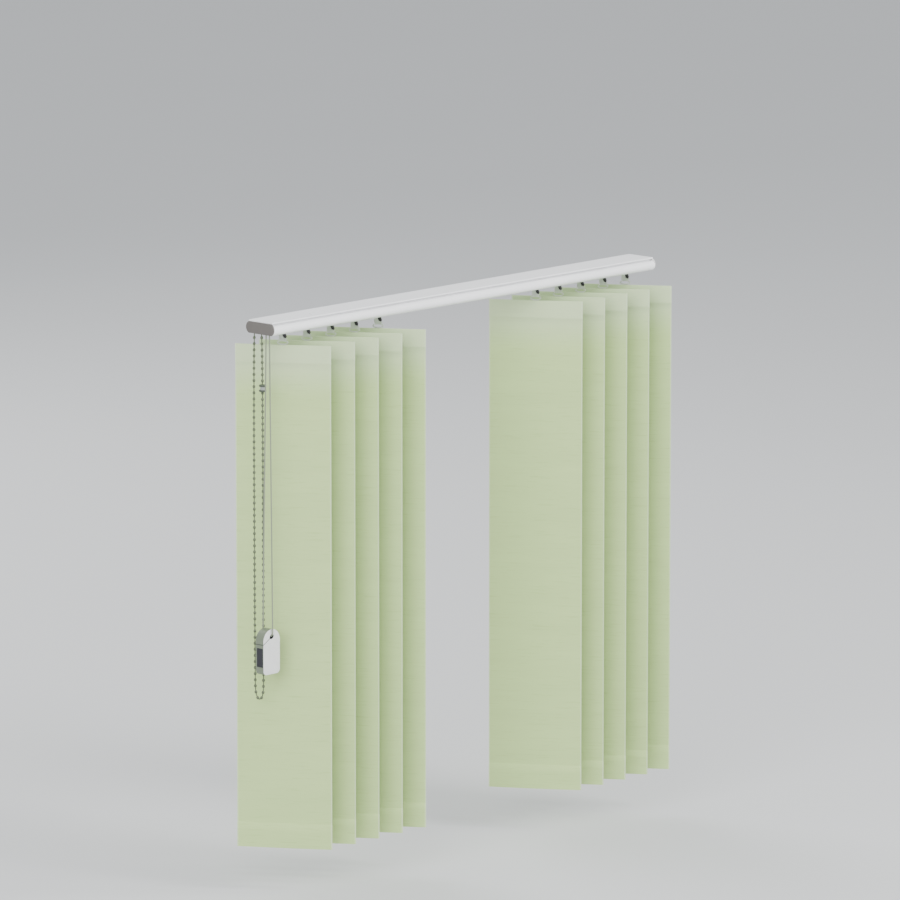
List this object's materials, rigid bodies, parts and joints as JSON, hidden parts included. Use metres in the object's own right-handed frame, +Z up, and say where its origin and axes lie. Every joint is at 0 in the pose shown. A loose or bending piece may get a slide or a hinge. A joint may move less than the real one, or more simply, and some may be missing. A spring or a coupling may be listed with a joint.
{
  "type": "vertical blind",
  "caption": "Vertical blind: slim white head rail with hanging fabric vanes drawn to both sides, a bead chain that turns them and a draw cord with a weight.",
  "frame": {"origin": "centre of the head rail's flat top face", "axes": "+X along the rail away from the controls, +Y towards the wall or window, +Z up"},
  "size_m": [0.7582, 0.1084, 0.7062],
  "materials": {
    "rail_white": "gloss white powder coat",
    "housing_white": "moulded white plastic",
    "cover_grey": "moulded grey plastic",
    "carrier_white": "moulded acetal",
    "stem_black": "moulded black plastic",
    "hanger_clear": "clear plastic",
    "fabric_green": "pale green slub weave",
    "rod_aluminium": "extruded",
    "worm_plastic": "moulded acetal",
    "chain_grey": "moulded beads",
    "cord_grey": "braided cord",
    "weight_white": "moulded white shell round a dark slug",
    "connector_dark": "moulded plastic"
  },
  "bodies": {
    "root": {"head_rail": "rail_white", "control_housing": "housing_white", "control_cover": "cover_grey", "return_end_cap": "housing_white", "end_carriers": "carrier_white", "rail_cord": "cord_grey", "draw_cord": "cord_grey", "tilt_chain": "chain_grey", "chain_connector": "connector_dark", "cord_weight": "weight_white"},
    "tilt_drive": {"tilt_rod": "rod_aluminium", "chain_wheel": "worm_plastic", "end_worms": "worm_plastic"},
    "pulley": {"return_pulley": "worm_plastic"},
    "louvre_01": {"stem_01": "stem_black", "hanger_01": "hanger_clear", "vane_01": "fabric_green"},
    "carriage_02": {"carrier_02": "carrier_white"},
    "louvre_02": {"stem_02": "stem_black", "hanger_02": "hanger_clear", "vane_02": "fabric_green"},
    "worm_drive_02": {"worm_02": "worm_plastic"},
    "carriage_03": {"carrier_03": "carrier_white"},
    "louvre_03": {"stem_03": "stem_black", "hanger_03": "hanger_clear", "vane_03": "fabric_green"},
    "worm_drive_03": {"worm_03": "worm_plastic"},
    "carriage_04": {"carrier_04": "carrier_white"},
    "louvre_04": {"stem_04": "stem_black", "hanger_04": "hanger_clear", "vane_04": "fabric_green"},
    "worm_drive_04": {"worm_04": "worm_plastic"},
    "carriage_05": {"carrier_05": "carrier_white"},
    "louvre_05": {"stem_05": "stem_black", "hanger_05": "hanger_clear", "vane_05": "fabric_green"},
    "worm_drive_05": {"worm_05": "worm_plastic"},
    "carriage_06": {"carrier_06": "carrier_white"},
    "louvre_06": {"stem_06": "stem_black", "hanger_06": "hanger_clear", "vane_06": "fabric_green"},
    "worm_drive_06": {"worm_06": "worm_plastic"},
    "carriage_07": {"carrier_07": "carrier_white"},
    "louvre_07": {"stem_07": "stem_black", "hanger_07": "hanger_clear", "vane_07": "fabric_green"},
    "worm_drive_07": {"worm_07": "worm_plastic"},
    "carriage_08": {"carrier_08": "carrier_white"},
    "louvre_08": {"stem_08": "stem_black", "hanger_08": "hanger_clear", "vane_08": "fabric_green"},
    "worm_drive_08": {"worm_08": "worm_plastic"},
    "carriage_09": {"carrier_09": "carrier_white"},
    "louvre_09": {"stem_09": "stem_black", "hanger_09": "hanger_clear", "vane_09": "fabric_green"},
    "worm_drive_09": {"worm_09": "worm_plastic"},
    "louvre_10": {"stem_10": "stem_black", "hanger_10": "hanger_clear", "vane_10": "fabric_green"}
  },
  "joints": [
    {"name": "tilt_01", "type": "hinge", "parent": "root", "child": "louvre_01", "pos_m": [-0.329, 0, -0.0172], "axis": [0, 0, 1], "range_deg": [-83, 25]},
    {"name": "draw_05", "type": "slide", "parent": "root", "child": "carriage_05", "axis": [1, 0, 0], "range_m": [0, 0.1166]},
    {"name": "tilt_02", "type": "hinge", "parent": "carriage_02", "child": "louvre_02", "pos_m": [-0.284, 0, -0.0172], "axis": [0, 0, 1], "range_deg": [-83, 25]},
    {"name": "draw_02", "type": "slide", "parent": "root", "child": "carriage_02", "axis": [1, 0, 0], "range_m": [0, 0.02915]},
    {"name": "worm_spin_02", "type": "hinge", "parent": "carriage_02", "child": "worm_drive_02", "pos_m": [-0.284, 0.00985, -0.0094], "axis": [1, 0, 0], "range_deg": [-498, 150]},
    {"name": "tilt_03", "type": "hinge", "parent": "carriage_03", "child": "louvre_03", "pos_m": [-0.239, 0, -0.0172], "axis": [0, 0, 1], "range_deg": [-83, 25]},
    {"name": "draw_03", "type": "slide", "parent": "root", "child": "carriage_03", "axis": [1, 0, 0], "range_m": [0, 0.0583]},
    {"name": "worm_spin_03", "type": "hinge", "parent": "carriage_03", "child": "worm_drive_03", "pos_m": [-0.239, 0.00985, -0.0094], "axis": [1, 0, 0], "range_deg": [-498, 150]},
    {"name": "tilt_04", "type": "hinge", "parent": "carriage_04", "child": "louvre_04", "pos_m": [-0.194, 0, -0.0172], "axis": [0, 0, 1], "range_deg": [-83, 25]},
    {"name": "draw_04", "type": "slide", "parent": "root", "child": "carriage_04", "axis": [1, 0, 0], "range_m": [0, 0.08745]},
    {"name": "worm_spin_04", "type": "hinge", "parent": "carriage_04", "child": "worm_drive_04", "pos_m": [-0.194, 0.00985, -0.0094], "axis": [1, 0, 0], "range_deg": [-498, 150]},
    {"name": "tilt_05", "type": "hinge", "parent": "carriage_05", "child": "louvre_05", "pos_m": [-0.149, 0, -0.0172], "axis": [0, 0, 1], "range_deg": [-83, 25]},
    {"name": "worm_spin_05", "type": "hinge", "parent": "carriage_05", "child": "worm_drive_05", "pos_m": [-0.149, 0.00985, -0.0094], "axis": [1, 0, 0], "range_deg": [-498, 150]},
    {"name": "tilt_06", "type": "hinge", "parent": "carriage_06", "child": "louvre_06", "pos_m": [0.1584, 0, -0.0172], "axis": [0, 0, 1], "range_deg": [-83, 25]},
    {"name": "draw_06", "type": "slide", "parent": "root", "child": "carriage_06", "axis": [1, 0, 0], "range_m": [-0.1166, 0]},
    {"name": "worm_spin_06", "type": "hinge", "parent": "carriage_06", "child": "worm_drive_06", "pos_m": [0.1584, 0.00985, -0.0094], "axis": [1, 0, 0], "range_deg": [-498, 150]},
    {"name": "tilt_07", "type": "hinge", "parent": "carriage_07", "child": "louvre_07", "pos_m": [0.2034, 0, -0.0172], "axis": [0, 0, 1], "range_deg": [-83, 25]},
    {"name": "draw_07", "type": "slide", "parent": "root", "child": "carriage_07", "axis": [1, 0, 0], "range_m": [-0.08745, 0]},
    {"name": "worm_spin_07", "type": "hinge", "parent": "carriage_07", "child": "worm_drive_07", "pos_m": [0.2034, 0.00985, -0.0094], "axis": [1, 0, 0], "range_deg": [-498, 150]},
    {"name": "tilt_08", "type": "hinge", "parent": "carriage_08", "child": "louvre_08", "pos_m": [0.2484, 0, -0.0172], "axis": [0, 0, 1], "range_deg": [-83, 25]},
    {"name": "draw_08", "type": "slide", "parent": "root", "child": "carriage_08", "axis": [1, 0, 0], "range_m": [-0.0583, 0]},
    {"name": "worm_spin_08", "type": "hinge", "parent": "carriage_08", "child": "worm_drive_08", "pos_m": [0.2484, 0.00985, -0.0094], "axis": [1, 0, 0], "range_deg": [-498, 150]},
    {"name": "tilt_09", "type": "hinge", "parent": "carriage_09", "child": "louvre_09", "pos_m": [0.2934, 0, -0.0172], "axis": [0, 0, 1], "range_deg": [-83, 25]},
    {"name": "draw_09", "type": "slide", "parent": "root", "child": "carriage_09", "axis": [1, 0, 0], "range_m": [-0.02915, 0]},
    {"name": "worm_spin_09", "type": "hinge", "parent": "carriage_09", "child": "worm_drive_09", "pos_m": [0.2934, 0.00985, -0.0094], "axis": [1, 0, 0], "range_deg": [-498, 150]},
    {"name": "tilt_10", "type": "hinge", "parent": "root", "child": "louvre_10", "pos_m": [0.3384, 0, -0.0172], "axis": [0, 0, 1], "range_deg": [-83, 25]},
    {"name": "tilt_drive_spin", "type": "hinge", "parent": "root", "child": "tilt_drive", "pos_m": [-0.365, 0.00985, -0.0094], "axis": [1, 0, 0], "range_deg": [-498, 150]},
    {"name": "pulley_spin", "type": "hinge", "parent": "root", "child": "pulley", "pos_m": [0.36595, -0.01175, -0.0094], "axis": [0, 0, 1], "range_deg": [0, 2192]}
  ],
  "couplings": [
    {"joint": "tilt_02", "follows": "tilt_01", "ratio": 1},
    {"joint": "draw_02", "follows": "draw_05", "ratio": 0.25},
    {"joint": "worm_spin_02", "follows": "tilt_01", "ratio": 6},
    {"joint": "tilt_03", "follows": "tilt_01", "ratio": 1},
    {"joint": "draw_03", "follows": "draw_05", "ratio": 0.5},
    {"joint": "worm_spin_03", "follows": "tilt_01", "ratio": 6},
    {"joint": "tilt_04", "follows": "tilt_01", "ratio": 1},
    {"joint": "draw_04", "follows": "draw_05", "ratio": 0.75},
    {"joint": "worm_spin_04", "follows": "tilt_01", "ratio": 6},
    {"joint": "tilt_05", "follows": "tilt_01", "ratio": 1},
    {"joint": "worm_spin_05", "follows": "tilt_01", "ratio": 6},
    {"joint": "tilt_06", "follows": "tilt_01", "ratio": 1},
    {"joint": "draw_06", "follows": "draw_05", "ratio": -1},
    {"joint": "worm_spin_06", "follows": "tilt_01", "ratio": 6},
    {"joint": "tilt_07", "follows": "tilt_01", "ratio": 1},
    {"joint": "draw_07", "follows": "draw_05", "ratio": -0.75},
    {"joint": "worm_spin_07", "follows": "tilt_01", "ratio": 6},
    {"joint": "tilt_08", "follows": "tilt_01", "ratio": 1},
    {"joint": "draw_08", "follows": "draw_05", "ratio": -0.5},
    {"joint": "worm_spin_08", "follows": "tilt_01", "ratio": 6},
    {"joint": "tilt_09", "follows": "tilt_01", "ratio": 1},
    {"joint": "draw_09", "follows": "draw_05", "ratio": -0.25},
    {"joint": "worm_spin_09", "follows": "tilt_01", "ratio": 6},
    {"joint": "tilt_10", "follows": "tilt_01", "ratio": 1},
    {"joint": "tilt_drive_spin", "follows": "tilt_01", "ratio": 6},
    {"joint": "pulley_spin", "follows": "draw_05", "rad_per_m": 327.87}
  ]
}
